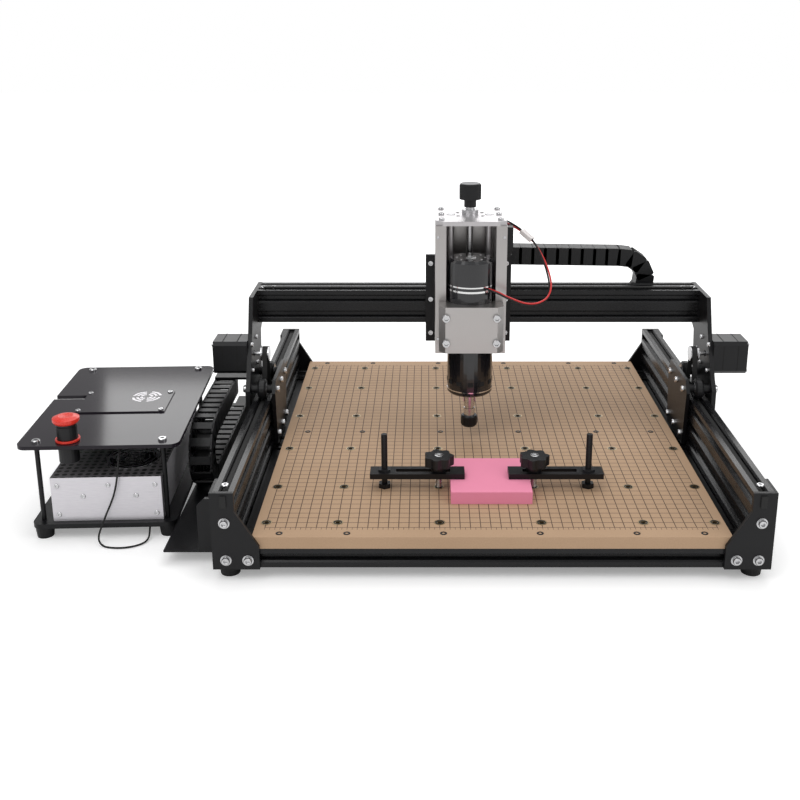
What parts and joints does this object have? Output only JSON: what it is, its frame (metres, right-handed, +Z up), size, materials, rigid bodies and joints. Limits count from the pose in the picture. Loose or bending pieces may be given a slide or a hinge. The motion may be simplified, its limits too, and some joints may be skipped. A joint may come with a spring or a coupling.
{
  "type": "cnc router",
  "caption": "Desktop gantry CNC router in black slotted aluminium, with a spindle over a gridded spoilboard, belt drives, cable chains, bar clamps and a separate control box.",
  "frame": {"origin": "centre of the spoilboard top face, the work surface", "axes": "+Z up out of the work surface; +X to the right along the gantry beam; +Y to the rear along the rails"},
  "size_m": [0.8023, 0.528, 0.34],
  "materials": {
    "black_anodised": "satin anodised",
    "black_paint": "satin",
    "motor_black": "gloss",
    "black_plastic": "moulded",
    "smoked_acrylic": "gloss",
    "bare_aluminium": "brushed",
    "steel": "turned",
    "clamp_steel": "black oxide",
    "fibreboard": "sanded",
    "foam": "closed cell foam",
    "foot_rubber": "matt",
    "cable_sheath": "matt",
    "supply_sheet": "galvanised",
    "circuit_green": "solder resist",
    "stop_red": "moulded"
  },
  "bodies": {
    "base": {"rail_left": "black_anodised", "rail_right": "black_anodised", "crossbeam_front": "black_anodised", "crossbeam_middle": "black_anodised", "crossbeam_rear": "black_anodised", "bracket_front_left": "black_paint", "bracket_rear_left": "black_paint", "bracket_front_right": "black_paint", "bracket_rear_right": "black_paint", "foot_front_left": "foot_rubber", "foot_rear_left": "foot_rubber", "foot_front_right": "foot_rubber", "foot_rear_right": "foot_rubber", "spoilboard": "fibreboard", "chain_tray": "black_paint", "y_chain_lower": "black_plastic", "workpiece": "foam", "box_base": "black_paint", "box_top_plate": "smoked_acrylic", "power_supply": "supply_sheet", "control_board": "circuit_green", "stop_housing": "black_plastic", "sensor_cable": "cable_sheath"},
    "gantry": {"gantry_plate_left": "black_paint", "gantry_plate_right": "black_paint", "wheel_plate_left": "black_paint", "wheel_plate_right": "black_paint", "gantry_beam": "black_anodised", "y_motor_left": "motor_black", "y_motor_right": "motor_black", "y_chain_upper": "black_plastic", "x_chain_lower": "black_plastic"},
    "x_carriage_body": {"x_carriage": "black_paint", "x_motor": "motor_black", "x_chain_upper": "black_plastic", "z_frame": "bare_aluminium", "z_top_plate": "bare_aluminium", "z_motor": "motor_black", "spindle_lead": "cable_sheath"},
    "z_carriage": {"spindle_clamp": "bare_aluminium", "spindle_motor": "motor_black"},
    "spindle_shaft_body": {"spindle_shaft": "steel"},
    "z_screw_body": {"z_screw": "steel"},
    "y_pulley_left_body": {"y_pulley_left": "steel"},
    "y_wheel_left_front_body": {"y_wheel_left_front": "black_plastic"},
    "y_wheel_left_rear_body": {"y_wheel_left_rear": "black_plastic"},
    "y_pulley_right_body": {"y_pulley_right": "steel"},
    "y_wheel_right_front_body": {"y_wheel_right_front": "black_plastic"},
    "y_wheel_right_rear_body": {"y_wheel_right_rear": "black_plastic"},
    "x_wheel_upper_left_body": {"x_wheel_upper_left": "black_plastic"},
    "x_wheel_upper_right_body": {"x_wheel_upper_right": "black_plastic"},
    "x_wheel_lower_left_body": {"x_wheel_lower_left": "black_plastic"},
    "x_wheel_lower_right_body": {"x_wheel_lower_right": "black_plastic"},
    "x_pulley_body": {"x_pulley": "steel"},
    "supply_fan_body": {"supply_fan": "black_plastic"},
    "stop_button_body": {"stop_button": "stop_red"},
    "clamp_bar_left_body": {"clamp_bar_left": "clamp_steel"},
    "clamp_knob_left_body": {"clamp_knob_left": "black_plastic"},
    "clamp_bar_right_body": {"clamp_bar_right": "clamp_steel"},
    "clamp_knob_right_body": {"clamp_knob_right": "black_plastic"}
  },
  "joints": [
    {"name": "y_slide", "type": "slide", "parent": "base", "child": "gantry", "axis": [0, 1, 0], "range_m": [-0.205, 0.185], "deforming": ["y_chain_upper"]},
    {"name": "x_slide", "type": "slide", "parent": "gantry", "child": "x_carriage_body", "axis": [1, 0, 0], "range_m": [-0.19, 0.2], "deforming": ["x_chain_upper"]},
    {"name": "z_slide", "type": "slide", "parent": "x_carriage_body", "child": "z_carriage", "axis": [0, 0, 1], "range_m": [-0.004, 0.036], "deforming": ["spindle_lead"]},
    {"name": "spindle_spin", "type": "hinge", "parent": "z_carriage", "child": "spindle_shaft_body", "pos_m": [-0.013, -0.014, 0.027], "axis": [0, 0, 1], "continuous": true},
    {"name": "z_screw_turn", "type": "hinge", "parent": "x_carriage_body", "child": "z_screw_body", "pos_m": [-0.013, 0.022, 0.255], "axis": [0, 0, 1], "range_deg": [-181, 1621]},
    {"name": "y_pulley_left_turn", "type": "hinge", "parent": "gantry", "child": "y_pulley_left_body", "pos_m": [-0.2545, 0.02, 0.092], "axis": [1, 0, 0], "range_deg": [-1679, 1515]},
    {"name": "y_wheel_left_front_turn", "type": "hinge", "parent": "gantry", "child": "y_wheel_left_front_body", "pos_m": [-0.2545, -0.01, 0.0582], "axis": [1, 0, 0], "range_deg": [-1041, 1153]},
    {"name": "y_wheel_left_rear_turn", "type": "hinge", "parent": "gantry", "child": "y_wheel_left_rear_body", "pos_m": [-0.2545, 0.054, 0.0582], "axis": [1, 0, 0], "range_deg": [-1041, 1153]},
    {"name": "y_pulley_right_turn", "type": "hinge", "parent": "gantry", "child": "y_pulley_right_body", "pos_m": [0.2545, 0.02, 0.092], "axis": [1, 0, 0], "range_deg": [-1679, 1515]},
    {"name": "y_wheel_right_front_turn", "type": "hinge", "parent": "gantry", "child": "y_wheel_right_front_body", "pos_m": [0.2545, -0.01, 0.0582], "axis": [1, 0, 0], "range_deg": [-1041, 1153]},
    {"name": "y_wheel_right_rear_turn", "type": "hinge", "parent": "gantry", "child": "y_wheel_right_rear_body", "pos_m": [0.2545, 0.054, 0.0582], "axis": [1, 0, 0], "range_deg": [-1041, 1153]},
    {"name": "x_wheel_upper_left_turn", "type": "hinge", "parent": "x_carriage_body", "child": "x_wheel_upper_left_body", "pos_m": [-0.044, 0.072, 0.1682], "axis": [0, 1, 0], "range_deg": [-1068, 1124]},
    {"name": "x_wheel_upper_right_turn", "type": "hinge", "parent": "x_carriage_body", "child": "x_wheel_upper_right_body", "pos_m": [0.018, 0.072, 0.1682], "axis": [0, 1, 0], "range_deg": [-1068, 1124]},
    {"name": "x_wheel_lower_left_turn", "type": "hinge", "parent": "x_carriage_body", "child": "x_wheel_lower_left_body", "pos_m": [-0.044, 0.072, 0.1078], "axis": [0, 1, 0], "range_deg": [-1124, 1068]},
    {"name": "x_wheel_lower_right_turn", "type": "hinge", "parent": "x_carriage_body", "child": "x_wheel_lower_right_body", "pos_m": [0.018, 0.072, 0.1078], "axis": [0, 1, 0], "range_deg": [-1124, 1068]},
    {"name": "x_pulley_turn", "type": "hinge", "parent": "x_carriage_body", "child": "x_pulley_body", "pos_m": [-0.013, 0.072, 0.185], "axis": [0, 1, 0], "range_deg": [-1638, 1557]},
    {"name": "supply_fan_spin", "type": "hinge", "parent": "base", "child": "supply_fan_body", "pos_m": [-0.37755, -0.12518, 0.015], "axis": [0, 0, 1], "continuous": true},
    {"name": "stop_press", "type": "slide", "parent": "base", "child": "stop_button_body", "axis": [0, 0, 1], "range_m": [-0.003, 0], "stiffness_N_per_m": 400},
    {"name": "clamp_swivel_left", "type": "hinge", "parent": "base", "child": "clamp_bar_left_body", "pos_m": [-0.05, -0.15, 0.016], "axis": [0, 0, 1], "range_deg": [-20, 20]},
    {"name": "clamp_knob_left_turn", "type": "hinge", "parent": "base", "child": "clamp_knob_left_body", "pos_m": [-0.05, -0.15, 0.027], "axis": [0, 0, 1], "continuous": true},
    {"name": "clamp_swivel_right", "type": "hinge", "parent": "base", "child": "clamp_bar_right_body", "pos_m": [0.05, -0.15, 0.016], "axis": [0, 0, 1], "range_deg": [-20, 20]},
    {"name": "clamp_knob_right_turn", "type": "hinge", "parent": "base", "child": "clamp_knob_right_body", "pos_m": [0.05, -0.15, 0.027], "axis": [0, 0, 1], "continuous": true}
  ],
  "couplings": [
    {"joint": "z_screw_turn", "follows": "z_slide", "rad_per_m": 785.4},
    {"joint": "y_pulley_left_turn", "follows": "y_slide", "rad_per_m": 142.86},
    {"joint": "y_wheel_left_front_turn", "follows": "y_slide", "rad_per_m": -98.04},
    {"joint": "y_wheel_left_rear_turn", "follows": "y_slide", "rad_per_m": -98.04},
    {"joint": "y_pulley_right_turn", "follows": "y_slide", "rad_per_m": 142.86},
    {"joint": "y_wheel_right_front_turn", "follows": "y_slide", "rad_per_m": -98.04},
    {"joint": "y_wheel_right_rear_turn", "follows": "y_slide", "rad_per_m": -98.04},
    {"joint": "x_wheel_upper_left_turn", "follows": "x_slide", "rad_per_m": 98.04},
    {"joint": "x_wheel_upper_right_turn", "follows": "x_slide", "rad_per_m": 98.04},
    {"joint": "x_wheel_lower_left_turn", "follows": "x_slide", "rad_per_m": -98.04},
    {"joint": "x_wheel_lower_right_turn", "follows": "x_slide", "rad_per_m": -98.04},
    {"joint": "x_pulley_turn", "follows": "x_slide", "rad_per_m": -142.86}
  ]
}
